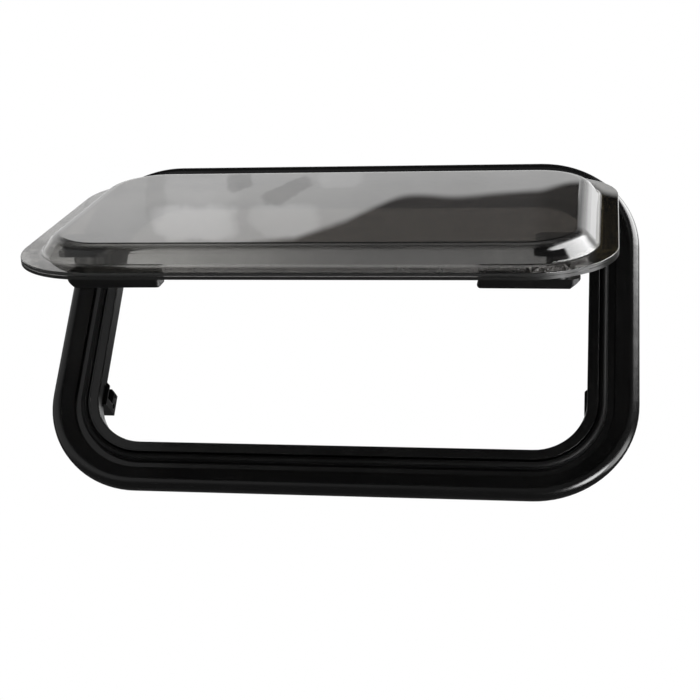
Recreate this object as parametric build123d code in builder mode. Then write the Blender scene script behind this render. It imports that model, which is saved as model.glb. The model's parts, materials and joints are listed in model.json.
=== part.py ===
from build123d import *
from math import atan2, cos, degrees, radians, sin
import os

os.makedirs("parts", exist_ok=True)

# A top-hung caravan window, shown open. All sizes are in millimetres.
# X runs to the right as seen from outside, Z up, and outside is towards -Y.
# The origin is the middle of the wall cut-out, in the plane of the wall's outer skin.
# In the ring sections, the first coordinate is the distance outwards from the edge of the cut-out
# and the second is how far a point stands in front of the wall.

# Wall cut-out
cut_out_width = 500.0
cut_out_height = 300.0
cut_out_radius = 70.0
wall_thickness = 25.0

# Outer frame
rim_cover = 23.0
rim_edge_radius = 7.5
rim_peak = 14.4
rim_inner_edge = 1.5
rim_inner_height = 5.2
groove_draft = 0.8
groove_width = 13.2
groove_floor = 1.5
lip_reach = 23.0
lip_height = 7.4
lip_bead_width = 1.2
lip_bead_height = 0.4
lip_edge_radius = 1.2
lip_return_depth = 8.0
lip_return_wall = 3.0
frame_back_depth = 3.5
spigot_clearance = 1.5
spigot_wall = 6.0
spigot_behind_wall = 6.0

# Gasket between the frame and the wall
gasket_width = 10.0
gasket_inset = 3.0
gasket_thickness = 2.0
gasket_side_gap = 0.2

# Seal in the frame's groove
seal_width = 7.0
seal_side_gap = 0.3
seal_crown_radius = 3.0
seal_to_pane_gap = 0.3

# Clamp ring behind the wall
clamp_cover = 9.0
clamp_wall = 3.0
clamp_fit_gap = 0.3
clamp_slope_width = 7.0
clamp_slope_height = 5.5
clamp_screw_columns = 4
clamp_screw_rows = 2
clamp_screw_end = 27.0

# Double pane: flat inner sheet, bond and domed outer sheet
pane_reach = 8.5
pane_overlap = 3.0
sheet_thickness = 2.8
bond_thickness = 0.4
bond_edge_inset = 1.0
bond_dome_gap = 1.5
flange_side_width = 15.0
flange_end_width = 18.0
dome_base_radius = 60.0
dome_rise = 14.0
dome_run = 20.0
dome_straight = 9.6
dome_foot_radius = 3.0
pane_edge_rounding = 0.8

# Top hinge: a bead on the frame's rail, and a hooked strip on the pane
open_angle = 43.0
hinge_drop = 0.3
hinge_reach = 8.0
hinge_end_gap = 5.0
hinge_side_gap = 0.5
hinge_notch_gap = 0.8
bead_radius = 1.8
bead_clearance = 0.1
hook_wall = 1.4
hook_slot_start = 168.0
hook_slot_end = 297.0
hook_leg_length = 13.7
hook_leg_gap = 0.3
neck_thickness = 1.4
rail_thickness = 1.8
rail_below_axis = 3.5
rail_above_axis = 8.1
pocket_top_gap = 0.7
pocket_end_margin = 26.0
stop_length = 7.0
stop_gap = 0.2
stop_lift = 4.5
stop_above_axis = 0.2
hinge_screw_count = 5
hinge_screw_end = 22.0
hinge_screw_above_axis = 4.8

# Latches on the pane
latch_side_inset = 46.0
latch_foot_inset = 80.0
base_length = 40.0
base_width = 30.0
base_thickness = 5.0
base_corner_radius = 5.0
pillar_radius = 10.0
pillar_height = 18.8
base_edge_radius = 1.5
base_screw_spacing = 27.0
backing_length = 38.0
backing_width = 16.0
backing_thickness = 7.0
spindle_radius = 4.0
spindle_seat = 3.0
running_clearance = 0.05
latch_running_gap = 0.3
cam_thickness = 4.5
cam_hub_radius = 10.0
cam_reach = 32.0
cam_width = 12.0
cam_corner_radius = 3.0
grip_reach = 68.0
grip_heel = 18.0
grip_bevel_length = 8.5
grip_bevel_height = 6.2
grip_nose_radius = 2.5
grip_nose_flare = 2.0
grip_hub_width = 18.0
grip_tip_width = 15.0
grip_thickness = 8.2
grip_tip_corner = 5.0
grip_heel_corner = 8.0
peg_radius = 1.5
peg_height = 3.0
peg_spacing = 14.0
pivot_head_radius = 5.5
pivot_head_height = 2.6
pivot_head_clearance = 0.3
pivot_play = 0.2
pivot_shank_radius = 2.0
pivot_shank_length = 10.0
pivot_socket_radius = 2.2
pivot_socket_depth = 1.4

# Catches beside the opening
catch_stand = 2.6
catch_length = 23.5
catch_tail = 7.7
catch_relief = 1.0
catch_wear_wall = 2.0
catch_slot_depth = 14.2
catch_back_wall = 4.0
catch_lead_in = 3.0
catch_floor_gap = 0.3
catch_screw_spacing = 11.0
catch_screw_above_corner = 8.5
catch_screw_from_end = 2.8
catch_rear_overhang = 0.5

# Vent plugs in the inner sheet
vent_side_inset = 100.0
vent_top_inset = 38.0
vent_radius = 3.0
vent_head_radius = 4.5
vent_head_height = 1.5
vent_tail = 1.0
vent_clearance = 0.05

# Screws
screw_radius = 1.5
screw_head_radius = 2.6
screw_head_height = 2.0
screw_slot_width = 0.9
screw_slot_depth = 1.0
screw_hole_clearance = 0.05
sheet_hole_clearance = 0.2
screw_tip_gap = 0.5
countersink_radius = 2.5
clamp_screw_length = 14.0
hinge_screw_length = 3.1
base_screw_sink = 2.5
base_screw_reach = 6.0
catch_screw_reach = 5.0
catch_screw_sink = 8.0
head_side_gap = 0.2

# Sizes that follow from those above
straight_width = cut_out_width - 2 * cut_out_radius
straight_height = cut_out_height - 2 * cut_out_radius
hinge_height = cut_out_height / 2 - hinge_drop
hinge_length = straight_width - 2 * hinge_end_gap
latch_across = cut_out_width / 2 - latch_side_inset
latch_height = latch_foot_inset - cut_out_height / 2
vent_across = cut_out_width / 2 - vent_side_inset
vent_height = cut_out_height / 2 - vent_top_inset
pane_width = cut_out_width + 2 * pane_overlap
pane_height = cut_out_height + 2 * pane_overlap
pane_radius = cut_out_radius + pane_overlap
dome_width = pane_width - 2 * flange_side_width
dome_height = pane_height - 2 * flange_end_width
outer_sheet_reach = pane_reach + sheet_thickness + bond_thickness
groove_outer = rim_inner_edge - groove_draft
groove_inner = groove_outer - groove_width
lip_outer = groove_inner - groove_draft
gasket_outer = rim_cover - gasket_inset
gasket_inner = gasket_outer - gasket_width
spigot_outer = -spigot_clearance
spigot_inner = spigot_outer - spigot_wall
spigot_middle = (spigot_outer + spigot_inner) / 2
spigot_depth = wall_thickness + spigot_behind_wall
clamp_depth = spigot_depth + clamp_wall
seal_inner = groove_inner + seal_side_gap
seal_outer = seal_inner + seal_width
seal_shoulder = pane_reach - seal_to_pane_gap - seal_crown_radius
rail_front = groove_floor + rail_thickness
hook_bore = bead_radius + bead_clearance
hook_outer = hook_bore + hook_wall
stop_inner = hinge_length / 2 + stop_gap
strip_half_length = stop_inner - hinge_side_gap
notch_half_length = strip_half_length + hinge_notch_gap
notch_bottom = hinge_height - hook_leg_length - hook_leg_gap
pocket_half_length = hinge_length / 2 + pocket_end_margin
pocket_top = hinge_height + rail_above_axis + pocket_top_gap
hinge_screw_height = hinge_height + hinge_screw_above_axis
cam_start = pillar_height + latch_running_gap
grip_start = cam_start + cam_thickness
grip_end = grip_start + grip_thickness
pivot_sink = pivot_head_height + pivot_head_clearance
spindle_end = grip_end - pivot_sink + pivot_play
catch_inner = cut_out_width / 2 - lip_reach - catch_stand
catch_root = cut_out_width / 2 + spigot_inner
catch_front = lip_return_depth + latch_running_gap
slot_front = catch_front + catch_wear_wall
slot_back = slot_front + catch_slot_depth
catch_rear = clamp_depth + catch_rear_overhang
catch_stop = latch_height - cam_width / 2 - catch_floor_gap
catch_bottom = catch_stop - catch_tail
catch_top = catch_bottom + catch_length
catch_screw_depth = spigot_depth - catch_screw_from_end
corner_start = -straight_height / 2
screw_hole_radius = screw_radius + screw_hole_clearance
sides = (("left", -1), ("right", 1))


def ring_path(face, width, height, radius):
    # Rounded rectangle on a face, starting halfway up its right side
    across, up = width / 2, height / 2
    with BuildLine(face) as path:
        FilletPolyline((across, 0), (across, up), (-across, up), (-across, 0), radius=radius)
        FilletPolyline((-across, 0), (-across, -up), (across, -up), (across, 0), radius=radius)
    return path.wire()


def section_plane(face, width):
    # Cuts the right side of a ring: first axis outwards, second axis out of the face
    middle = face.from_local_coords((width / 2, 0, 0))
    return Plane(origin=middle, x_dir=face.x_dir, z_dir=-face.y_dir)


def front_plane(reach):
    # Parallel to the wall, at a distance in front of its outer skin, and looking out
    return Plane.XZ.offset(reach)


def swing(vector, angle):
    # Turns a vector about the hinge line, which opens the pane
    return Vector(vector).rotate(Axis.X, -angle)


def pane_plane(reach):
    # Parallel to the open pane; reach is its distance in front of the wall once shut
    hinge_point = Vector(0, -hinge_reach, hinge_height)
    middle = hinge_point + swing(Vector(0, -reach, 0) - hinge_point, open_angle)
    return Plane(origin=middle, x_dir=(1, 0, 0), z_dir=swing((0, -1, 0), open_angle))


def hinge_plane(across, angle):
    # Cuts the hinge line: first axis down the pane, second axis out of the pane
    middle = (across, -hinge_reach, hinge_height)
    return Plane(origin=middle, x_dir=swing((0, 0, -1), angle), z_dir=(-1, 0, 0))


def latch_plane(side, behind, toward):
    # On a latch pivot, at a distance behind the pane, looking into the room;
    # the first axis points to the centre of the pane or to its hinge
    face = pane_plane(pane_reach - behind)
    pivot = face.from_local_coords((side * latch_across, latch_height, 0))
    x_dir = -side * face.x_dir if toward == "centre" else face.y_dir
    return Plane(origin=pivot, x_dir=x_dir, z_dir=-face.z_dir)


def catch_screw_plane(side, across):
    # Across the two screws of a catch, looking towards the side wall of the frame
    middle = (side * across, catch_screw_depth, corner_start + catch_screw_above_corner)
    return Plane(origin=middle, x_dir=(0, 0, 1), z_dir=(side, 0, 0))


def finish(part, name):
    part.label = name
    export_step(part, f"parts/{name}.step")


def add_pan_screws(face, spots, length):
    # Round heads on a face, each with a driver slot, and shanks into it
    with BuildSketch(face) as heads:
        with Locations(*spots):
            Circle(screw_head_radius)
    extrude(heads.sketch, amount=screw_head_height)
    with BuildSketch(face.offset(screw_head_height)) as slots:
        with Locations(*spots):
            Rectangle(2 * screw_head_radius, screw_slot_width)
    extrude(slots.sketch, amount=-screw_slot_depth, mode=Mode.SUBTRACT)
    with BuildSketch(face) as shanks:
        with Locations(*spots):
            Circle(screw_radius)
    extrude(shanks.sketch, amount=-length)


def cut_round(face, spots, radius, depth):
    with BuildSketch(face) as holes:
        with Locations(*spots):
            Circle(radius)
    extrude(holes.sketch, amount=-depth, mode=Mode.SUBTRACT)


# Places of the screws
column_pitch = (straight_width - 2 * clamp_screw_end) / (clamp_screw_columns - 1)
row_pitch = (straight_height - 2 * clamp_screw_end) / (clamp_screw_rows - 1)
hinge_screw_pitch = (hinge_length - 2 * hinge_screw_end) / (hinge_screw_count - 1)
clamp_columns = GridLocations(
    column_pitch, cut_out_height + 2 * spigot_middle, clamp_screw_columns, 2
)
clamp_rows = GridLocations(cut_out_width + 2 * spigot_middle, row_pitch, 2, clamp_screw_rows)
clamp_spots = [spot.position for spot in [*clamp_columns, *clamp_rows]]
rail_columns = GridLocations(hinge_screw_pitch, 1, hinge_screw_count, 1)
rail_spots = [spot.position + Vector(0, hinge_screw_height) for spot in rail_columns]
stop_spots = [Vector(side * (stop_inner + stop_length / 2), hinge_screw_height) for _, side in sides]
base_spots = [(-base_screw_spacing / 2, 0), (base_screw_spacing / 2, 0)]
catch_spots = [(-catch_screw_spacing / 2, 0), (catch_screw_spacing / 2, 0)]
vent_spots = [(-vent_across, vent_height), (vent_across, vent_height)]
wall_skin = front_plane(0)
frame_path = ring_path(wall_skin, cut_out_width, cut_out_height, cut_out_radius)
frame_section = section_plane(wall_skin, cut_out_width)


# Outer frame: one ring section swept round the cut-out, with the hinge pocket and screw holes
with BuildPart() as outer_frame:
    with BuildSketch(frame_section):
        with BuildLine():
            FilletPolyline(
                (rim_inner_edge, rim_inner_height),
                (rim_cover, rim_peak),
                (rim_cover, 0),
                radius=rim_edge_radius,
            )
            Polyline(
                (rim_cover, 0),
                (gasket_outer, 0),
                (gasket_outer, gasket_thickness),
                (gasket_inner, gasket_thickness),
                (gasket_inner, 0),
                (spigot_outer, 0),
                (spigot_outer, -spigot_depth),
                (spigot_inner, -spigot_depth),
                (spigot_inner, -frame_back_depth),
                (lip_return_wall - lip_reach, -frame_back_depth),
                (lip_return_wall - lip_reach, -lip_return_depth),
                (-lip_reach, -lip_return_depth),
            )
            FilletPolyline(
                (-lip_reach, -lip_return_depth),
                (-lip_reach, lip_height),
                (lip_outer - lip_bead_width, lip_height),
                radius=lip_edge_radius,
            )
            Polyline(
                (lip_outer - lip_bead_width, lip_height),
                (lip_outer - lip_bead_width, lip_height + lip_bead_height),
                (lip_outer, lip_height + lip_bead_height),
                (groove_inner, groove_floor),
                (groove_outer, groove_floor),
                (rim_inner_edge, rim_inner_height),
            )
        make_face()
    sweep(path=frame_path)
    with BuildSketch(front_plane(groove_floor)):
        with Locations((0, (pocket_top + hinge_height) / 2)):
            Rectangle(2 * pocket_half_length, pocket_top - hinge_height)
    extrude(amount=rim_peak, mode=Mode.SUBTRACT)
    cut_round(front_plane(groove_floor), rail_spots + stop_spots, screw_hole_radius, groove_floor)
    clamp_hole_depth = clamp_screw_length - clamp_wall + screw_tip_gap
    clamp_hole_end = front_plane(clamp_hole_depth - spigot_depth)
    cut_round(clamp_hole_end, clamp_spots, screw_hole_radius, clamp_hole_depth)
    for _, side in sides:
        hole_end = catch_screw_plane(side, catch_root + catch_screw_reach + screw_hole_clearance)
        cut_round(hole_end, catch_spots, screw_hole_radius, catch_screw_reach + screw_hole_clearance)
finish(outer_frame.part, "outer_frame")

# Gasket that lies in the back of the frame against the outer skin of the wall
with BuildPart() as wall_gasket:
    with BuildSketch(frame_section):
        with Locations(((gasket_outer + gasket_inner) / 2, gasket_thickness / 2)):
            Rectangle(gasket_width - 2 * gasket_side_gap, gasket_thickness)
    sweep(path=frame_path)
finish(wall_gasket.part, "wall_gasket")

# Rubber seal in the groove, with a half-round crown that the shut pane lies on
with BuildPart() as frame_seal:
    with BuildSketch(frame_section):
        with Locations(((seal_inner + seal_outer) / 2, (groove_floor + seal_shoulder) / 2)):
            Rectangle(seal_width, seal_shoulder - groove_floor)
        with Locations(((seal_inner + seal_outer) / 2, seal_shoulder)):
            Circle(seal_crown_radius)
    sweep(path=frame_path)
finish(frame_seal.part, "frame_seal")

# Clamp ring that grips the wall from inside and caps the end of the spigot
with BuildPart() as clamp_ring:
    with BuildSketch(frame_section):
        with BuildLine():
            Polyline(
                (clamp_cover, -wall_thickness),
                (spigot_outer + clamp_fit_gap, -wall_thickness),
                (spigot_outer + clamp_fit_gap, -spigot_depth),
                (spigot_inner + clamp_fit_gap, -spigot_depth),
                (spigot_inner + clamp_fit_gap, -clamp_depth),
                (clamp_cover - clamp_slope_width, -clamp_depth),
                (clamp_cover, clamp_slope_height - clamp_depth),
                close=True,
            )
        make_face()
    sweep(path=frame_path)
    cut_round(front_plane(-spigot_depth), clamp_spots, screw_hole_radius, clamp_wall)
finish(clamp_ring.part, "clamp_ring")

with BuildPart() as clamp_screws:
    clamp_face = Plane(origin=(0, clamp_depth, 0), x_dir=(-1, 0, 0), z_dir=(0, 1, 0))
    add_pan_screws(clamp_face, clamp_spots, clamp_screw_length)
finish(clamp_screws.part, "clamp_screws")

# Hinge rail: a foot, a neck and the round bead that the pane turns on
with BuildPart() as hinge_rail:
    with BuildSketch(hinge_plane(hinge_length / 2, 0)):
        foot_middle = (rail_below_axis - rail_above_axis) / 2
        with Locations((foot_middle, rail_front - rail_thickness / 2 - hinge_reach)):
            Rectangle(rail_below_axis + rail_above_axis, rail_thickness)
        with Locations((0, (rail_front - hinge_reach) / 2)):
            Rectangle(neck_thickness, hinge_reach - rail_front)
        Circle(bead_radius)
    extrude(amount=hinge_length)
    with Locations(front_plane(rail_front)):
        with Locations(*rail_spots):
            CounterSinkHole(
                screw_hole_radius,
                countersink_radius + screw_hole_clearance,
                counter_sink_angle=90,
            )
finish(hinge_rail.part, "hinge_rail")

# Stops at the ends of the rail, which keep the pane from sliding sideways
for name, side in sides:
    with BuildPart() as hinge_stop:
        stop_start = side * (stop_inner + stop_length / 2) + stop_length / 2
        with BuildSketch(hinge_plane(stop_start, 0)):
            foot_middle = (stop_lift - rail_above_axis) / 2
            with Locations((foot_middle, rail_front - rail_thickness / 2 - hinge_reach)):
                Rectangle(stop_lift + rail_above_axis, rail_thickness)
            with Locations(((stop_lift - stop_above_axis) / 2, (groove_floor - hinge_reach) / 2)):
                Rectangle(stop_lift + stop_above_axis, hinge_reach - groove_floor)
        extrude(amount=stop_length)
        with Locations(front_plane(rail_front)):
            with Locations((side * (stop_inner + stop_length / 2), hinge_screw_height)):
                CounterSinkHole(
                    screw_hole_radius,
                    countersink_radius + screw_hole_clearance,
                    counter_sink_angle=90,
                )
    finish(hinge_stop.part, f"hinge_stop_{name}")

with BuildPart() as hinge_screws:
    with BuildSketch(front_plane(rail_front)):
        with Locations(*rail_spots, *stop_spots):
            Circle(countersink_radius)
    extrude(amount=screw_radius - countersink_radius, taper=45)
    with BuildSketch(front_plane(rail_front)):
        with Locations(*rail_spots, *stop_spots):
            Rectangle(2 * screw_radius, screw_slot_width)
    extrude(amount=-screw_slot_depth / 2, mode=Mode.SUBTRACT)
    with BuildSketch(front_plane(rail_front - screw_slot_depth / 2)):
        with Locations(*rail_spots, *stop_spots):
            Circle(screw_radius)
    extrude(amount=screw_slot_depth / 2 - hinge_screw_length)
finish(hinge_screws.part, "hinge_screws")

# Hinge strip: a hook round the bead, open towards the neck, and a leg along the pane
with BuildPart() as pane_hinge_strip:
    with BuildSketch(hinge_plane(strip_half_length, open_angle)):
        Circle(hook_outer)
        with Locations((hook_leg_length / 2, hook_outer - sheet_thickness / 2)):
            Rectangle(hook_leg_length, sheet_thickness)
        Circle(hook_bore, mode=Mode.SUBTRACT)
        with BuildLine():
            slot_reach = 2 * hook_outer
            slot_start = radians(hook_slot_start)
            slot_end = radians(hook_slot_end)
            slot_middle = (slot_start + slot_end) / 2
            Polyline(
                (0, 0),
                (slot_reach * cos(slot_start), slot_reach * sin(slot_start)),
                (slot_reach * cos(slot_middle), slot_reach * sin(slot_middle)),
                (slot_reach * cos(slot_end), slot_reach * sin(slot_end)),
                close=True,
            )
        make_face(mode=Mode.SUBTRACT)
    extrude(amount=2 * strip_half_length)
finish(pane_hinge_strip.part, "pane_hinge_strip")

# Inner sheet of the pane, notched for the hinge strip, with holes for the latches and vents
with BuildPart() as pane_inner:
    with BuildSketch(pane_plane(pane_reach)):
        RectangleRounded(pane_width, pane_height, pane_radius)
        with Locations((0, pane_height / 2)):
            Rectangle(2 * notch_half_length, pane_height - 2 * notch_bottom, mode=Mode.SUBTRACT)
        for _, side in sides:
            for along, _ in base_spots:
                with Locations((side * latch_across + along, latch_height)):
                    Circle(screw_radius + sheet_hole_clearance, mode=Mode.SUBTRACT)
        with Locations(*vent_spots):
            Circle(vent_radius + vent_clearance, mode=Mode.SUBTRACT)
    extrude(amount=sheet_thickness)
finish(pane_inner.part, "pane_inner")

# Bond between the sheets, all round the flange
with BuildPart() as pane_bond:
    with BuildSketch(pane_plane(pane_reach + sheet_thickness)):
        RectangleRounded(
            pane_width - 2 * bond_edge_inset,
            pane_height - 2 * bond_edge_inset,
            pane_radius - bond_edge_inset,
        )
        RectangleRounded(
            dome_width + 2 * bond_dome_gap,
            dome_height + 2 * bond_dome_gap,
            dome_base_radius + bond_dome_gap,
            mode=Mode.SUBTRACT,
        )
    extrude(amount=bond_thickness)
finish(pane_bond.part, "pane_bond")

# Outer sheet: a flat flange, a slope of constant thickness with a tight foot and a wide brow,
# and a flat raised middle. The two arcs follow from the rise, the run and the straight between them.
arc_sum = (dome_rise ** 2 + dome_run ** 2 - dome_straight ** 2) / (2 * dome_rise)
dome_brow_radius = arc_sum - dome_foot_radius
slope_lean = atan2(dome_rise - arc_sum, dome_run) + atan2(arc_sum, dome_straight)
slope_degrees = degrees(slope_lean)
with BuildPart() as pane_outer:
    flange_back = pane_plane(outer_sheet_reach)
    with BuildSketch(flange_back):
        RectangleRounded(pane_width, pane_height, pane_radius)
    extrude(amount=sheet_thickness)
    front_face = pane_outer.faces().sort_by(Axis(flange_back.origin, flange_back.z_dir))[-1]
    fillet(front_face.edges(), pane_edge_rounding)
    with BuildSketch(flange_back):
        RectangleRounded(dome_width, dome_height, dome_base_radius)
    extrude(amount=sheet_thickness, mode=Mode.SUBTRACT)
    with BuildSketch(section_plane(flange_back, dome_width)):
        with BuildLine():
            foot_radius = dome_foot_radius
            brow_radius = dome_brow_radius
            front_foot = JernArc((0, sheet_thickness), (-1, 0), foot_radius, -slope_degrees)
            front_rise = PolarLine(front_foot @ 1, dome_straight, direction=front_foot % 1)
            front_brow = JernArc(front_rise @ 1, front_foot % 1, brow_radius, slope_degrees)
            Line(front_brow @ 1, (-dome_run, dome_rise))
            back_foot = JernArc((0, 0), (-1, 0), foot_radius + sheet_thickness, -slope_degrees)
            back_rise = PolarLine(back_foot @ 1, dome_straight, direction=back_foot % 1)
            JernArc(back_rise @ 1, back_foot % 1, brow_radius - sheet_thickness, slope_degrees)
            Line((0, 0), (0, sheet_thickness))
        make_face()
    sweep(path=ring_path(flange_back, dome_width, dome_height, dome_base_radius))
    with BuildSketch(flange_back.offset(dome_rise)):
        RectangleRounded(
            dome_width - 2 * dome_run,
            dome_height - 2 * dome_run,
            dome_base_radius - dome_run,
        )
    extrude(amount=sheet_thickness)
finish(pane_outer.part, "pane_outer")

# Vent plugs in the inner sheet
with BuildPart() as vent_plugs:
    room_face = pane_plane(pane_reach)
    with BuildSketch(room_face):
        with Locations(*vent_spots):
            Circle(vent_head_radius)
    extrude(amount=-vent_head_height)
    with BuildSketch(room_face):
        with Locations(*vent_spots):
            Circle(vent_radius)
    extrude(amount=sheet_thickness + vent_tail)
finish(vent_plugs.part, "vent_plugs")


def make_base(name, side):
    # Plate on the pane with a pillar that carries the spindle
    with BuildPart() as base:
        face = latch_plane(side, 0, "centre")
        with BuildSketch(face):
            RectangleRounded(base_length, base_width, base_corner_radius)
        extrude(amount=base_thickness)
        plate_front = base.faces().sort_by(Axis(face.origin, face.z_dir))[-1]
        fillet(plate_front.edges(), base_edge_radius)
        with BuildSketch(face.offset(base_thickness)):
            Circle(pillar_radius)
        extrude(amount=pillar_height - base_thickness)
        for along in (-base_screw_spacing / 2, base_screw_spacing / 2):
            with Locations(face.offset(base_thickness)):
                with Locations((along, 0)):
                    CounterBoreHole(
                        screw_hole_radius,
                        screw_head_radius + head_side_gap,
                        base_screw_sink,
                        depth=base_thickness,
                    )
        cut_round(
            face.offset(pillar_height),
            [(0, 0)],
            spindle_radius + running_clearance,
            spindle_seat + screw_hole_clearance,
        )
    finish(base.part, f"latch_base_{name}")


def make_backing(name, side):
    # Spacer between the sheets, which takes the screws of the base
    with BuildPart() as backing:
        face = latch_plane(side, -sheet_thickness, "centre")
        with BuildSketch(face):
            SlotOverall(backing_length, backing_width)
        extrude(amount=-backing_thickness)
        cut_round(face, base_spots, screw_hole_radius, base_screw_reach + screw_hole_clearance)
    finish(backing.part, f"latch_backing_{name}")


def make_spindle(name, side):
    # Pin that the cam and the handle turn on
    with BuildPart() as spindle:
        end_face = latch_plane(side, spindle_end, "centre")
        with BuildSketch(end_face):
            Circle(spindle_radius)
        extrude(amount=pillar_height - spindle_seat - spindle_end)
        cut_round(
            end_face,
            [(0, 0)],
            pivot_shank_radius + screw_hole_clearance,
            pivot_shank_length + screw_tip_gap,
        )
    finish(spindle.part, f"latch_spindle_{name}")


def make_cam(name, side):
    # Hub with a nose that swings into the catch
    with BuildPart() as cam:
        face = latch_plane(side, cam_start, "hinge")
        with BuildSketch(face):
            with Locations((cam_reach / 2, 0)):
                nose = Rectangle(cam_reach, cam_width)
            fillet(nose.vertices().group_by(Axis.X)[-1], cam_corner_radius)
            Circle(cam_hub_radius)
            Circle(spindle_radius + running_clearance, mode=Mode.SUBTRACT)
            with Locations((0, -peg_spacing / 2), (0, peg_spacing / 2)):
                Circle(peg_radius + running_clearance, mode=Mode.SUBTRACT)
        extrude(amount=cam_thickness)
    finish(cam.part, f"latch_cam_{name}")


def make_handle(name, side):
    # Grip bar, sloped at its outer end, with pegs that drive the cam
    with BuildPart() as handle:
        face = latch_plane(side, grip_start, "centre")
        with BuildSketch(face) as outline:
            with BuildLine():
                Polyline(
                    (-grip_heel, -grip_hub_width / 2),
                    (grip_reach, -grip_tip_width / 2),
                    (grip_reach, grip_tip_width / 2),
                    (-grip_heel, grip_hub_width / 2),
                    close=True,
                )
            make_face()
            fillet(outline.vertices().group_by(Axis.X)[0], grip_heel_corner)
            fillet(outline.vertices().group_by(Axis.X)[-1], grip_tip_corner)
        extrude(amount=grip_thickness)
        with BuildSketch(Plane(origin=face.origin, x_dir=face.x_dir, z_dir=-face.y_dir)):
            with BuildLine():
                Polyline(
                    (-grip_heel, 0),
                    (grip_reach - grip_nose_flare, 0),
                    (grip_reach, grip_thickness),
                    (grip_bevel_length - grip_heel, grip_thickness),
                    (-grip_heel, grip_thickness - grip_bevel_height),
                    close=True,
                )
            side_outline = make_face()
            tip_corner = side_outline.vertices().sort_by(SortBy.DISTANCE)[-1]
            fillet(tip_corner, grip_nose_radius)
        extrude(amount=grip_hub_width, both=True, mode=Mode.INTERSECT)
        cut_round(
            face.offset(grip_thickness),
            [(0, 0)],
            pivot_head_radius + pivot_head_clearance,
            pivot_sink,
        )
        cut_round(
            face.offset(grip_thickness),
            [(0, 0)],
            spindle_radius + running_clearance,
            grip_thickness,
        )
        with BuildSketch(face):
            with Locations((-peg_spacing / 2, 0), (peg_spacing / 2, 0)):
                Circle(peg_radius)
        extrude(amount=-peg_height)
    finish(handle.part, f"latch_handle_{name}")


for name, side in sides:
    make_base(name, side)
    make_backing(name, side)
    make_spindle(name, side)
    make_cam(name, side)
    make_handle(name, side)

with BuildPart() as latch_base_screws:
    for _, side in sides:
        screw_face = latch_plane(side, base_thickness - base_screw_sink, "centre")
        screw_length = base_thickness - base_screw_sink + sheet_thickness + base_screw_reach
        add_pan_screws(screw_face, base_spots, screw_length)
finish(latch_base_screws.part, "latch_base_screws")

with BuildPart() as latch_pivot_screws:
    for _, side in sides:
        head_face = latch_plane(side, spindle_end, "centre")
        with BuildSketch(head_face):
            Circle(pivot_head_radius)
        extrude(amount=pivot_head_height)
        with BuildSketch(head_face.offset(pivot_head_height)):
            RegularPolygon(pivot_socket_radius, 6)
        extrude(amount=-pivot_socket_depth, mode=Mode.SUBTRACT)
        with BuildSketch(head_face):
            Circle(pivot_shank_radius)
        extrude(amount=-pivot_shank_length)
finish(latch_pivot_screws.part, "latch_pivot_screws")

# Catches: blocks on the side walls of the frame, slotted for the noses of the latches
for name, side in sides:
    with BuildPart() as catch:
        with BuildSketch(front_plane(-catch_front)):
            with BuildLine():
                Polyline(
                    (side * catch_inner, catch_bottom),
                    (side * catch_inner, catch_top - catch_lead_in),
                    (side * (catch_inner + catch_lead_in), catch_top),
                    (side * catch_root, catch_top),
                    (side * catch_root, corner_start),
                    (side * (catch_root - catch_relief), catch_bottom),
                    close=True,
                )
            make_face()
        extrude(amount=catch_front - catch_rear)
        with BuildSketch(front_plane(-slot_back)):
            with Locations((side * (catch_inner + catch_root - catch_back_wall) / 2, 0)):
                Rectangle(catch_root - catch_back_wall - catch_inner, -2 * catch_stop)
        extrude(amount=catch_slot_depth, mode=Mode.SUBTRACT)
        cut_round(
            catch_screw_plane(side, catch_root),
            catch_spots,
            screw_hole_radius,
            catch_root - catch_inner,
        )
        cut_round(
            catch_screw_plane(side, catch_inner + catch_screw_sink),
            catch_spots,
            screw_head_radius + head_side_gap,
            catch_screw_sink,
        )
    finish(catch.part, f"catch_{name}")

with BuildPart() as catch_screws:
    for _, side in sides:
        seat = catch_screw_plane(side, catch_inner + catch_screw_sink)
        outward = Plane(origin=seat.origin, x_dir=seat.x_dir, z_dir=-seat.z_dir)
        shank = catch_root - catch_inner - catch_screw_sink + catch_screw_reach
        add_pan_screws(outward, catch_spots, shank)
finish(catch_screws.part, "catch_screws")
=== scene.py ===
import json
import math
import bpy
from mathutils import Matrix, Vector

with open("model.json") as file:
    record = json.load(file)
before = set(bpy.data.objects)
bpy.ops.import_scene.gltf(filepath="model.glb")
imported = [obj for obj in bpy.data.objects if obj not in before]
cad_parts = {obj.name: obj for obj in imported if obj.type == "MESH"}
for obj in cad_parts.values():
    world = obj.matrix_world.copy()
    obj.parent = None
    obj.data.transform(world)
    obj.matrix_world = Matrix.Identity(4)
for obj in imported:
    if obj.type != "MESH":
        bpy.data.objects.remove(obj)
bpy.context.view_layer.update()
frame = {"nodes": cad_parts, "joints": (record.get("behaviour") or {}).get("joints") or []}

nodes = frame["nodes"]
scene = bpy.context.scene
print("frame loaded:", len(nodes), "nodes")

mixSlots = {"factor": 0, "first": 6, "second": 7, "result": 2}  # of a Mix node set to colour
noiseMiddle = 0.5  # the level that noise wanders about
noiseRough = 0.6
bevelSamples = 4
edgeSpan = (0.01, 0.16)  # how far an edge turns the surface where its wear starts and is complete


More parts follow.
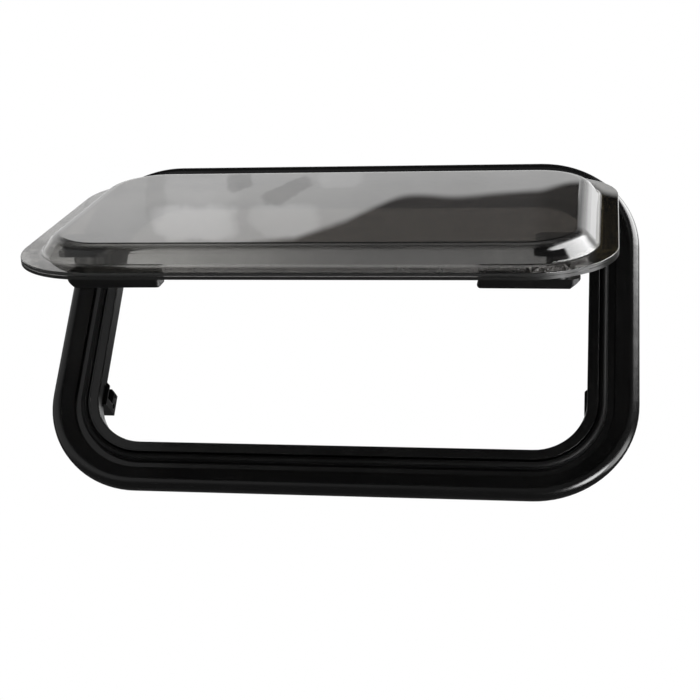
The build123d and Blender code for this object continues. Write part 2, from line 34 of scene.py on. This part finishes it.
class Wire:
    # one output socket, which takes part in expressions
    def __init__(self, tree, socket=None):
        self.tree = tree
        self.socket = socket

    def add(self, kind, settings=None, inputs=None, output=0):
        node = self.tree.nodes.new(kind)
        for name, value in (settings or {}).items():
            setattr(node, name, value)
        for name, value in (inputs or {}).items():
            self.feed(node.inputs[name], value)
        return Wire(self.tree, node.outputs[output])

    def feed(self, socket, value):
        if isinstance(value, Wire):
            self.tree.links.new(value.socket, socket)
        else:
            socket.default_value = value

    def math(self, operation, *terms):
        return self.add("ShaderNodeMath", {"operation": operation}, dict(enumerate(terms)))

    def __add__(self, other):
        return self.math("ADD", self, other)

    def __radd__(self, other):
        return self.math("ADD", other, self)

    def __sub__(self, other):
        return self.math("SUBTRACT", self, other)

    def __rsub__(self, other):
        return self.math("SUBTRACT", other, self)

    def __mul__(self, other):
        return self.math("MULTIPLY", self, other)

    def __rmul__(self, other):
        return self.math("MULTIPLY", other, self)

    def __pow__(self, power):
        return self.math("POWER", self, power)

    def __abs__(self):
        return self.math("ABSOLUTE", self)

    def larger(self, other):
        return self.math("MAXIMUM", self, other)

    def dot(self, first, second):
        terms = {0: first, 1: second}
        return self.add("ShaderNodeVectorMath", {"operation": "DOT_PRODUCT"}, terms, "Value")

    def ramp(self, low, high):  # 0 below low, 1 above high: a look's spans are such pairs
        inputs = {"Value": self, "From Min": low, "From Max": high}
        return self.add("ShaderNodeMapRange", {"interpolation_type": "SMOOTHSTEP"}, inputs)

    def between(self, low, high):  # low where this value is 0, high where it is 1
        return self * (high - low) + low

    def blend(self, first, second):  # this value picks between two colours
        inputs = {mixSlots["factor"]: self, mixSlots["first"]: first, mixSlots["second"]: second}
        return self.add("ShaderNodeMix", {"data_type": "RGBA"}, inputs, mixSlots["result"])


def noise(wire, place, scale, detail, stretch=None):
    # a look's noises hold scale and detail, and where it is drawn out, its stretch
    if stretch:
        place = wire.add("ShaderNodeMapping", None, {"Vector": place, "Scale": stretch})
    return wire.add("ShaderNodeTexNoise", None, {
        "Vector": place, "Scale": scale, "Detail": detail, "Roughness": noiseRough})


# Camera at the photograph's viewing point
cameraLook = {
    "place": (0.2433, -1.2101, -0.6186),
    "ahead": (-0.17257, 0.88511, 0.43220),
    "up": (-0.00962, -0.44027, 0.89781),
    "lens": 75.19,
    "sensor": 36.0,
    "near": 0.05,
    "far": 60.0,
}


def makeCamera(look):
    camera = bpy.data.objects.new("camera", bpy.data.cameras.new("camera"))
    scene.collection.objects.link(camera)
    ahead = Vector(look["ahead"]).normalized()
    right = ahead.cross(Vector(look["up"])).normalized()
    up = right.cross(ahead)
    turn = Matrix((right, up, -ahead)).transposed()
    camera.matrix_world = Matrix.Translation(look["place"]) @ turn.to_4x4()
    camera.data.lens = look["lens"]
    camera.data.sensor_width = look["sensor"]
    camera.data.clip_start = look["near"]
    camera.data.clip_end = look["far"]
    scene.camera = camera


# Studio: white behind the object for the camera and the clear sheets. Gloss sees a cloudy sky behind,
# a dark room in front and overhead, and bright windows at the right. All of it is placed by direction:
# across is X, behind is Y and above is Z
studioLook = {
    "matt": 0.55,  # what matt surfaces see all round
    "clearSpan": (0.0, 0.1),  # where the clear sheets look out on white
    # clouds, with the softness of the blocks in them
    "cloud": 1.22, "cloudSpread": 0.55, "cloudWander": 0.018, "cloudFray": 0.010,
    "wispNoise": (1.0, 4.0, (9.0, 16.0, 16.0)), "driftNoise": (14.0, 2.0), "frayNoise": (75.0, 3.0),
    "shapePower": 4.0, "shapeSpan": (0.30, 1.7),
    # the sky's upper line, as a height above, with its slope, dips and rise
    "skyTop": 0.8808, "skyTopSlope": 0.026, "skyTopTurn": -0.21, "skyTopFall": 0.14,
    "skyTopDrift": 0.002, "skyTopSoft": 0.0014,
    "skyTopDips": [(-0.137, 0.042, 0.0036), (-0.020, 0.028, 0.0024)],  # middle, half width, depth
    "skyTopRise": 0.0016, "skyTopRiseSpan": (-0.012, -0.002),
    "skyBottomSpan": (0.42, 0.58), "skyFrontSpan": (0.0, 0.06),
    # the room round the sky
    "frontLeft": 0.50, "frontRight": 0.14, "frontSpan": (-0.5, 0.1),
    "overhead": 0.03, "overheadSpan": (0.0, 0.4), "highSpan": (0.42, 0.75),
    "rearLeft": 0.10, "rearRight": 0.055, "rearSpan": (-0.055, -0.035),
    "rearFarRight": 0.3, "rearFarSpan": (-0.02, -0.006),  # as a share of the rest
    "behindLow": 0.05, "behindLowSpan": (-0.1, 0.3), "horizonSpan": (0.3, 0.5),
    "underside": 0.11, "undersideSpan": (-0.5, 0.0),
}
# light and dark blocks in the clouds: the direction of each one's middle (across, behind), its half
# sizes and turn in degrees, and how much light it adds
cloudShapes = [
    {"middle": (-0.2755, 0.4386), "half": (0.0260, 0.0112), "turn": 7.0, "adds": 0.42},
    {"middle": (-0.2160, 0.4460), "half": (0.0230, 0.0095), "turn": 8.0, "adds": 0.24},
    {"middle": (-0.2720, 0.4585), "half": (0.0240, 0.0080), "turn": 7.0, "adds": 0.10},
    {"middle": (-0.2120, 0.4645), "half": (0.0175, 0.0046), "turn": 26.0, "adds": -0.27},
    {"middle": (-0.2440, 0.4670), "half": (0.0105, 0.0050), "turn": 20.0, "adds": -0.26},
    {"middle": (-0.3010, 0.4510), "half": (0.0060, 0.0130), "turn": 0.0, "adds": -0.11},
    {"middle": (-0.1780, 0.4750), "half": (0.0140, 0.0055), "turn": 10.0, "adds": 0.14},
    {"middle": (-0.360, 0.402), "half": (0.020, 0.0100), "turn": 0.0, "adds": -0.40},
    {"middle": (0.270, 0.690), "half": (0.16, 0.12), "turn": 0.0, "adds": 0.55},
]
# bright windows: how light each one is, and where it starts and ends. The main one hides the sky and
# the room, and the low ones add to them
mainWindowLook = {
    "light": 11.0,
    "starts": {"across": (0.37, 0.50), "above": (0.47, 0.515)},
    "ends": {"behind": (0.15, 0.48)},
}
lowWindowLooks = [
    {
        "light": 5.0,
        "starts": {"across": (0.82, 0.90)},
        "ends": {"above": (-0.12, 0.05)},
    },
    {
        "light": 5.5,
        "starts": {"across": (0.47, 0.49), "behind": (-0.36, -0.34)},
        "ends": {"across": (0.55, 0.57), "behind": (-0.29, -0.27), "above": (-0.77, -0.75)},
    },
    {
        "light": 17.0,
        "starts": {"across": (0.36, 0.50), "behind": (-0.88, -0.72), "above": (-0.745, -0.68)},
        "ends": {"across": (0.80, 0.87), "behind": (-0.32, -0.14), "above": (-0.42, -0.28)},
    },
]


def cloudShape(across, behind, shape, look):
    # 1 inside one soft rounded block of the sky, 0 outside
    turn = math.radians(shape["turn"])
    east = across - shape["middle"][0]
    north = behind - shape["middle"][1]
    along = (east * math.cos(turn) + north * math.sin(turn)) * (1 / shape["half"][0])
    over = (north * math.cos(turn) - east * math.sin(turn)) * (1 / shape["half"][1])
    reach = abs(along) ** look["shapePower"] + abs(over) ** look["shapePower"]
    return 1 - reach.ramp(*look["shapeSpan"])


def cloudLight(wire, towards, across, behind, drift, shapes, look):
    wisps = noise(wire, towards, *look["wispNoise"]) - noiseMiddle
    fray = noise(wire, towards, *look["frayNoise"]) - noiseMiddle
    bentAcross = across + drift * look["cloudWander"] + fray * look["cloudFray"]
    bentBehind = behind + wisps * look["cloudWander"] + fray * look["cloudFray"]
    clouds = look["cloud"] + wisps * look["cloudSpread"]
    for shape in shapes:
        clouds = clouds + cloudShape(bentAcross, bentBehind, shape, look) * shape["adds"]
    return clouds.larger(look["overhead"])


def skyShape(across, behind, above, drift, look):
    # 1 where the sky shows, 0 where the room does
    turned = (look["skyTopTurn"] - across).larger(0.0)
    top = look["skyTop"] + across * look["skyTopSlope"] - turned * look["skyTopFall"]
    for middle, half, depth in look["skyTopDips"]:
        top = top - (1 - abs(across - middle).ramp(0.0, half)) * depth
    top = top + across.ramp(*look["skyTopRiseSpan"]) * look["skyTopRise"]
    overTop = above - top + drift * look["skyTopDrift"]
    sky = 1 - overTop.ramp(-look["skyTopSoft"], look["skyTopSoft"])
    return sky * above.ramp(*look["skyBottomSpan"]) * behind.ramp(*look["skyFrontSpan"])


def roomLight(across, behind, above, look):
    front = across.ramp(*look["frontSpan"]).between(look["frontLeft"], look["frontRight"])
    rear = across.ramp(*look["rearSpan"]).between(look["rearLeft"], look["rearRight"])
    rear = rear * across.ramp(*look["rearFarSpan"]).between(1.0, look["rearFarRight"])
    overhead = behind.ramp(*look["overheadSpan"]).between(look["overhead"], rear)
    upper = above.ramp(*look["highSpan"]).between(front, overhead)
    lower = behind.ramp(*look["behindLowSpan"]).between(front, look["behindLow"])
    room = above.ramp(*look["horizonSpan"]).between(lower, upper)
    return above.ramp(*look["undersideSpan"]).between(look["underside"], room)


def windowShape(directions, look):
    # 1 inside one window, 0 outside
    inside = 1.0
    for name, span in look["starts"].items():
        inside = inside * directions[name].ramp(*span)
    for name, span in look["ends"].items():
        inside = inside * (1 - directions[name].ramp(*span))
    return inside


def makeWorld(look, shapes, mainWindow, lowWindows):
    world = bpy.data.worlds.new("studio")
    scene.world = world
    world.use_nodes = True
    world.node_tree.nodes.clear()
    wire = Wire(world.node_tree)
    towards = wire.add("ShaderNodeTexCoord", output="Generated")
    across, behind, above = [
        wire.add("ShaderNodeSeparateXYZ", None, {0: towards}, axis) for axis in "XYZ"]
    directions = {"across": across, "behind": behind, "above": above}

    drift = noise(wire, towards, *look["driftNoise"]) - noiseMiddle
    clouds = cloudLight(wire, towards, across, behind, drift, shapes, look)
    sky = skyShape(across, behind, above, drift, look)
    gloss = sky.between(roomLight(across, behind, above, look), clouds)
    gloss = windowShape(directions, mainWindow).between(gloss, mainWindow["light"])
    for window in lowWindows:
        gloss = gloss + windowShape(directions, window) * window["light"]

    straight, through, mirrored = [wire.add("ShaderNodeLightPath", output=name) for name in (
        "Is Camera Ray", "Is Transmission Ray", "Is Glossy Ray")]
    plain = straight.larger(through * behind.ramp(*look["clearSpan"]))
    shiny = mirrored.larger(through)
    level = plain + (1 - plain) * shiny.between(look["matt"], gloss)
    backdrop = wire.add("ShaderNodeBackground", None, {"Color": (1, 1, 1, 1), "Strength": level})
    out = world.node_tree.nodes.new("ShaderNodeOutputWorld")
    wire.feed(out.inputs["Surface"], backdrop)


lampLooks = {
    "key": {"place": (-1.1, -1.6, 1.3), "size": (1.4, 1.0), "watts": 26.0},
    "side": {"place": (1.7, -0.9, 0.5), "size": (0.9, 1.3), "watts": 14.0},
    "back": {"place": (0.3, 1.6, 1.2), "size": (1.6, 1.0), "watts": 22.0},
}


def makeLamps(looks):
    for name, look in looks.items():
        lamp = bpy.data.lights.new(name, "AREA")
        lamp.shape = "RECTANGLE"
        lamp.size, lamp.size_y = look["size"]
        lamp.energy = look["watts"]
        lampObject = bpy.data.objects.new(name, lamp)
        scene.collection.objects.link(lampObject)
        lampObject.location = look["place"]
        aim = -Vector(look["place"])  # at the middle of the frame
        lampObject.rotation_euler = aim.to_track_quat("-Z", "Y").to_euler()
        lampObject.visible_glossy = False
        lampObject.visible_transmission = False
        lampObject.visible_camera = False


def startMaterial(name, sockets):
    # a material with one Principled shader, and the wire that adds its nodes
    material = bpy.data.materials.new(name)
    material.use_nodes = True
    tree = material.node_tree
    tree.nodes.clear()
    wire = Wire(tree)
    shader = tree.nodes.new("ShaderNodeBsdfPrincipled")
    out = tree.nodes.new("ShaderNodeOutputMaterial")
    tree.links.new(shader.outputs[0], out.inputs["Surface"])
    for socketName, value in sockets.items():
        wire.feed(shader.inputs[socketName], value)
    return material, wire, shader


floorLook = {"height": -1.05, "half": 6.0, "colour": (0.86, 0.86, 0.855, 1), "rough": 0.8}


def makeFloor(look):
    mesh = bpy.data.meshes.new("floor")
    low, high = -look["half"], look["half"]
    corners = [(x, y, look["height"]) for x, y in ((low, low), (high, low), (high, high), (low, high))]
    mesh.from_pydata(corners, [], [(0, 1, 2, 3)])
    floor = bpy.data.objects.new("floor", mesh)
    scene.collection.objects.link(floor)
    material = startMaterial("floorPaper", {"Base Color": look["colour"], "Roughness": look["rough"]})[0]
    floor.data.materials.append(material)
    floor.visible_glossy = False


def rounded(wire, radius):
    # the surface's direction, with its sharp edges turned over
    return wire.add("ShaderNodeBevel", {"samples": bevelSamples}, {"Radius": radius})


def edgeMask(wire, radius):
    # 1 on the rounded edges of a piece, 0 on its flats
    flat = wire.add("ShaderNodeNewGeometry", output="Normal")
    return (1 - wire.dot(rounded(wire, radius), flat)).ramp(*edgeSpan)


def bump(wire, height, strength, depth, under=None):
    inputs = {"Strength": strength, "Distance": depth, "Height": height}
    if under:
        inputs["Normal"] = under
    return wire.add("ShaderNodeBump", None, inputs)


def grey(level):
    return (level, level, level, 1)


def moulded(name, look):
    # black injection-moulded plastic or rubber: fine ripple, dust, worn edges
    material, wire, shader = startMaterial(name, {
        "IOR": look["ior"], "Specular IOR Level": look["specular"]})
    place = wire.add("ShaderNodeTexCoord", output="Object")
    smears = noise(wire, place, *look["smearNoise"])
    dust = noise(wire, place, *look["dustNoise"]).ramp(*look["dustSpan"])
    worn = edgeMask(wire, look["edge"])
    base = smears.ramp(*look["smearSpan"]).blend(look["colour"], look["smearColour"])
    base = (dust * look["dust"]).blend(base, look["dustColour"])
    base = (worn * look["wear"]).blend(base, look["wornColour"])
    wire.feed(shader.inputs["Base Color"], base)
    rough = look["rough"] + smears * look["roughSpread"] + worn * look["wornRough"]
    wire.feed(shader.inputs["Roughness"], rough)
    ripple = noise(wire, place, *look["rippleNoise"])
    grain = noise(wire, place, *look["grainNoise"])
    rippled = bump(wire, ripple, look["ripple"], look["rippleDepth"], rounded(wire, look["round"]))
    wire.feed(shader.inputs["Normal"], bump(wire, grain, look["grain"], look["grainDepth"], rippled))
    return material


frameLook = {
    "colour": (0.0022, 0.0022, 0.0023, 1), "smearColour": grey(0.0034),
    "dustColour": (0.06, 0.06, 0.057, 1), "wornColour": grey(0.008),
    "ior": 1.5, "specular": 0.5, "rough": 0.15, "roughSpread": 0.12, "wornRough": 0.05,
    "smearNoise": (18.0, 5.0), "smearSpan": (0.3, 0.7),
    "dust": 0.03, "dustNoise": (700.0, 6.0), "dustSpan": (0.62, 0.75),
    "ripple": 0.10, "rippleNoise": (90.0, 2.0), "rippleDepth": 0.001,
    "grain": 0.08, "grainNoise": (1600.0, 4.0), "grainDepth": 0.0002,
    "wear": 0.35, "edge": 0.0012, "round": 0.0005,
}
hardwareLook = dict(
    frameLook, colour=grey(0.0026), smearColour=grey(0.0042), wornColour=grey(0.015),
    specular=0.40, rough=0.24, grain=0.35, grainNoise=(2200.0, 4.0),
    wear=0.5, edge=0.0010, round=0.0006)
clampLook = dict(
    frameLook, colour=(0.016, 0.016, 0.0165, 1), smearColour=grey(0.021),
    rough=0.46, roughSpread=0.10, grain=0.7, grainNoise=(1500.0, 4.0))
sealLook = dict(
    frameLook, colour=grey(0.0016), smearColour=grey(0.003),
    specular=0.16, rough=0.42, roughSpread=0.15, dust=0.01, ripple=0.05, grain=0.5, wear=0.0)
gasketLook = dict(
    frameLook, colour=grey(0.015), smearColour=grey(0.022),
    rough=0.85, roughSpread=0.10, ripple=0.3, rippleNoise=(900.0, 2.0), grain=1.0, wear=0.0)


def metal(name, look):
    # plated or anodised metal with drawn lines along it
    material, wire, shader = startMaterial(name, {"Metallic": look["metallic"]})
    place = wire.add("ShaderNodeTexCoord", output="Object")
    lines = noise(wire, place, *look["lineNoise"])
    stains = noise(wire, place, *look["stainNoise"]).ramp(*look["stainSpan"])
    worn = edgeMask(wire, look["edge"])
    base = stains.blend(look["colour"], look["stainColour"])
    base = (worn * look["wear"]).blend(base, look["wornColour"])
    wire.feed(shader.inputs["Base Color"], base)
    wire.feed(shader.inputs["Roughness"], look["rough"] + lines * look["roughSpread"])
    lined = bump(wire, lines, look["line"], look["lineDepth"], rounded(wire, look["round"]))
    wire.feed(shader.inputs["Normal"], lined)
    return material


screwLook = {
    "colour": (0.50, 0.50, 0.51, 1), "stainColour": (0.38, 0.37, 0.35, 1), "wornColour": grey(0.72),
    "metallic": 1.0, "rough": 0.24, "roughSpread": 0.16,
    "line": 0.25, "lineNoise": (900.0, 3.0), "lineDepth": 0.0001,
    "stainNoise": (400.0, 5.0), "stainSpan": (0.35, 0.7),
    "wear": 0.5, "edge": 0.0004, "round": 0.00025,
}
hingeLook = dict(
    screwLook, colour=(0.018, 0.018, 0.019, 1), stainColour=(0.026, 0.026, 0.027, 1),
    wornColour=(0.16, 0.16, 0.165, 1), metallic=0.6, rough=0.28,
    lineNoise=(1400.0, 3.0, (0.02, 1, 1)), stainNoise=(40.0, 5.0),
    wear=0.4, edge=0.0006, round=0.0003)


# how the open pane lies, on which its tints and bends depend: its hinge is shut at the lower limit
paneHinge = next(joint for joint in frame["joints"] if joint["name"] == "pane_hinge")
openAngle = -math.radians(paneHinge["range_deg"][0])
paneNormal = (0.0, -math.cos(openAngle), math.sin(openAngle))
paneSideways = (1.0, 0.0, 0.0)
hingeHeight = Vector(paneHinge["pos_m"]).dot(Vector(paneNormal))  # measured along paneNormal


def acrylic(name, look):
    # smoked sheet: clear through its faces, dark and matt at its cut edges, dulled by smears, with painted
    # shade along its edges, at its bends and towards its right side
    material, wire, shader = startMaterial(name, {
        "IOR": look["ior"], "Transmission Weight": look["clear"]})
    place = wire.add("ShaderNodeTexCoord", output="Object")
    facing = wire.add("ShaderNodeTexCoord", output="Normal")
    across = wire.dot(place, paneSideways)
    upright = wire.dot(facing, paneNormal)  # 1 on the flats, 0 on the cut edges
    notFlat = 1 - upright.ramp(*look["flatSpan"])
    smears = noise(wire, place, *look["smearNoise"])
    scratches = noise(wire, place, *look["scratchNoise"]).ramp(*look["scratchSpan"])

    # seen head-on the sheet has one tint, darkened towards the right by painted shade, and seen at a slant
    # others on its dome and its flange
    rightShadeAndSmears = across.ramp(*look["paintedShadeSpan"]) + (smears - noiseMiddle) * look["smearTint"]
    clear = rightShadeAndSmears.blend(look["colour"], look["paintedShadeColour"])
    flange = across.ramp(*look["leftSpan"]).blend(look["flangeLeft"], look["flangeColour"])
    # painted shade: the flange's right end is darkened, standing in for the black frame seen through it
    flange = across.ramp(*look["flangeShadeSpan"]).blend(flange, look["flangeShadeColour"])
    raised = (wire.dot(place, paneNormal) - hingeHeight).ramp(*look["raisedSpan"])
    slanted = raised.blend(flange, rightShadeAndSmears.blend(look["slantColour"], look["slantPaintedShade"]))
    slant = wire.add("ShaderNodeLayerWeight", output="Facing")
    base = slant.ramp(*look["slantSpan"]).blend(clear, slanted)
    # painted shade: the bends are darkened, less towards the left
    paintedBendShade = upright.ramp(*look["bendSpan"]) * notFlat * look["bendShade"]
    paintedBendShade = paintedBendShade * across.ramp(*look["bendAcross"]).between(look["bendLeft"], 1.0)
    wire.feed(shader.inputs["Base Color"], paintedBendShade.blend(base, look["bendShadeColour"]))

    rough = look["rough"] + smears.ramp(*look["smearSpan"]) * look["roughSpread"]
    rough = rough + scratches * look["scratchRough"]
    rough = rough + upright.ramp(*look["slopeSpan"]) * notFlat * look["bendRough"]
    wire.feed(shader.inputs["Roughness"], rough)
    ripple = noise(wire, place, *look["rippleNoise"])
    wire.feed(shader.inputs["Normal"], bump(wire, ripple, look["ripple"], look["rippleDepth"]))

    # the cut edges take a matt dark finish, and a thin band along every edge and bend takes it too as
    # painted shade
    cutAndEdgeShade = 1 - abs(upright).ramp(*look["cutSpan"])
    cutAndEdgeShade = cutAndEdgeShade.larger(edgeMask(wire, look["edge"]) * look["edgeShade"])
    sawnAndShaded = wire.add("ShaderNodeBsdfPrincipled", None, {
        "Base Color": look["edgeColour"], "Roughness": look["edgeRough"], "IOR": look["ior"]})
    sheet = wire.add("ShaderNodeMixShader", None, {0: cutAndEdgeShade, 1: Wire(wire.tree, shader.outputs[0]), 2: sawnAndShaded})
    if look["bubbles"]:
        sheet = frothed(wire, place, across, sheet, look["bubbles"])
    wire.feed(wire.tree.nodes["Material Output"].inputs["Surface"], sheet)
    return material


def frothed(wire, place, across, sheet, look):
    # small bubbles caught in the film, in patches between two places across the pane
    cells = wire.add("ShaderNodeTexVoronoi", None, {"Vector": place, "Scale": look["scale"]})
    patches = noise(wire, place, *look["patchNoise"]).ramp(*look["patchSpan"])
    patches = patches * across.ramp(*look["startSpan"])
    patches = patches * across.ramp(*look["endSpan"]).between(1.0, look["pastEnd"])
    froth = wire.add("ShaderNodeBsdfPrincipled", None, {
        "Base Color": look["colour"], "Roughness": look["rough"]})
    bubbles = (1 - cells.ramp(*look["cellSpan"])) * patches * look["cover"]
    return wire.add("ShaderNodeMixShader", None, {0: bubbles, 1: sheet, 2: froth})


outerSheetLook = {
    "ior": 1.49, "clear": 1.0, "bubbles": None,
    # tint head-on, with painted shade darkening it towards the right
    "colour": (0.50, 0.50, 0.485, 1), "paintedShadeColour": (0.185, 0.185, 0.182, 1),
    "paintedShadeSpan": (-0.17, 0.06), "smearTint": 0.25,
    # tint at a slant, on the dome and then on the flange, whose right end is painted dark as shade for the
    # black frame seen through it
    "slantColour": (0.038, 0.034, 0.029, 1), "slantPaintedShade": (0.040, 0.0325, 0.026, 1),
    "slantSpan": (0.08, 0.72), "raisedSpan": (0.0068, 0.0098),
    "flangeLeft": (0.36, 0.355, 0.35, 1), "flangeColour": (0.88, 0.87, 0.86, 1),
    "flangeShadeColour": (0.13, 0.095, 0.035, 1), "leftSpan": (-0.20, -0.15), "flangeShadeSpan": (0.226, 0.236),
    # painted shade at the bends at the foot and the brow of the dome, less at the left
    "bendShadeColour": grey(0.012), "bendShade": 0.8, "bendSpan": (0.925, 0.972), "flatSpan": (0.985, 0.9995),
    "bendAcross": (-0.09, -0.03), "bendLeft": 0.45, "bendRough": 0.22, "slopeSpan": (0.78, 0.86),
    # wear
    "rough": 0.004, "roughSpread": 0.022, "smearNoise": (10.0, 5.0), "smearSpan": (0.45, 0.8),
    "scratchRough": 0.03, "scratchNoise": (260.0, 2.0, (0.05, 1, 1)), "scratchSpan": (0.66, 0.72),
    "ripple": 0.04, "rippleNoise": (9.0, 1.0), "rippleDepth": 0.001,
    # sawn edges: matt and dark, and painted shade in a thin band along the edges and bends
    "edgeColour": (0.022, 0.022, 0.0215, 1), "edgeRough": 0.30, "edge": 0.0018, "edgeShade": 0.15,
    "cutSpan": (0.05, 0.30),
}
paleSmoke = (0.78, 0.77, 0.76, 1)
paleSide = (0.60, 0.59, 0.58, 1)
# inner sheet: its edge band is painted shade at full strength, darkening the gap between the two sheets
innerSheetLook = dict(
    outerSheetLook, colour=(0.68, 0.67, 0.66, 1), paintedShadeColour=(0.66, 0.65, 0.64, 1),
    slantColour=paleSmoke, slantPaintedShade=paleSmoke,
    flangeLeft=paleSide, flangeColour=paleSmoke, flangeShadeColour=paleSide,
    edgeColour=(0.010, 0.010, 0.0097, 1), edge=0.0024, edgeShade=1.0, bendShade=0.0)
bubbleLook = {
    "colour": (0.62, 0.62, 0.61, 1), "rough": 0.3, "cover": 0.9, "scale": 300.0, "cellSpan": (0.18, 0.30),
    "patchNoise": (70.0, 2.0), "patchSpan": (0.46, 0.56),
    "startSpan": (-0.05, 0.16), "endSpan": (0.218, 0.228), "pastEnd": 0.07,
}
filmColour = grey(0.9)
bondLook = dict(
    innerSheetLook, colour=(0.90, 0.89, 0.88, 1), paintedShadeColour=(0.84, 0.83, 0.82, 1),
    slantColour=filmColour, slantPaintedShade=filmColour,
    flangeLeft=filmColour, flangeColour=filmColour, flangeShadeColour=filmColour,
    rough=0.006, roughSpread=0.03, smearNoise=(60.0, 5.0), edgeShade=0.0, bubbles=bubbleLook)


makeCamera(cameraLook)
makeWorld(studioLook, cloudShapes, mainWindowLook, lowWindowLooks)
makeLamps(lampLooks)
makeFloor(floorLook)
print("studio ready")

finishes = {
    "framePlastic": (moulded, frameLook, ["outer_frame"]),
    "sealRubber": (moulded, sealLook, ["frame_seal"]),
    "gasketRubber": (moulded, gasketLook, ["wall_gasket"]),
    "clampPlastic": (moulded, clampLook, ["clamp_ring"]),
    "latchPlastic": (moulded, hardwareLook, [
        "latch_base_left", "latch_base_right", "latch_backing_left", "latch_backing_right",
        "latch_cam_left", "latch_cam_right", "latch_handle_left", "latch_handle_right",
        "catch_left", "catch_right", "hinge_stop_left", "hinge_stop_right", "vent_plugs"]),
    "zincScrews": (metal, screwLook, [
        "clamp_screws", "hinge_screws", "catch_screws", "latch_base_screws",
        "latch_pivot_screws", "latch_spindle_left", "latch_spindle_right"]),
    "blackAnodised": (metal, hingeLook, ["hinge_rail", "pane_hinge_strip"]),
    "outerAcrylic": (acrylic, outerSheetLook, ["pane_outer"]),
    "innerAcrylic": (acrylic, innerSheetLook, ["pane_inner"]),
    "bondFilm": (acrylic, bondLook, ["pane_bond"]),
}
for name, (maker, look, owners) in finishes.items():
    material = maker(name, look)
    for owner in owners:
        nodes[owner].data.materials.clear()
        nodes[owner].data.materials.append(material)
print("finishes ready:", len(finishes))

scene.view_settings.view_transform = "Standard"
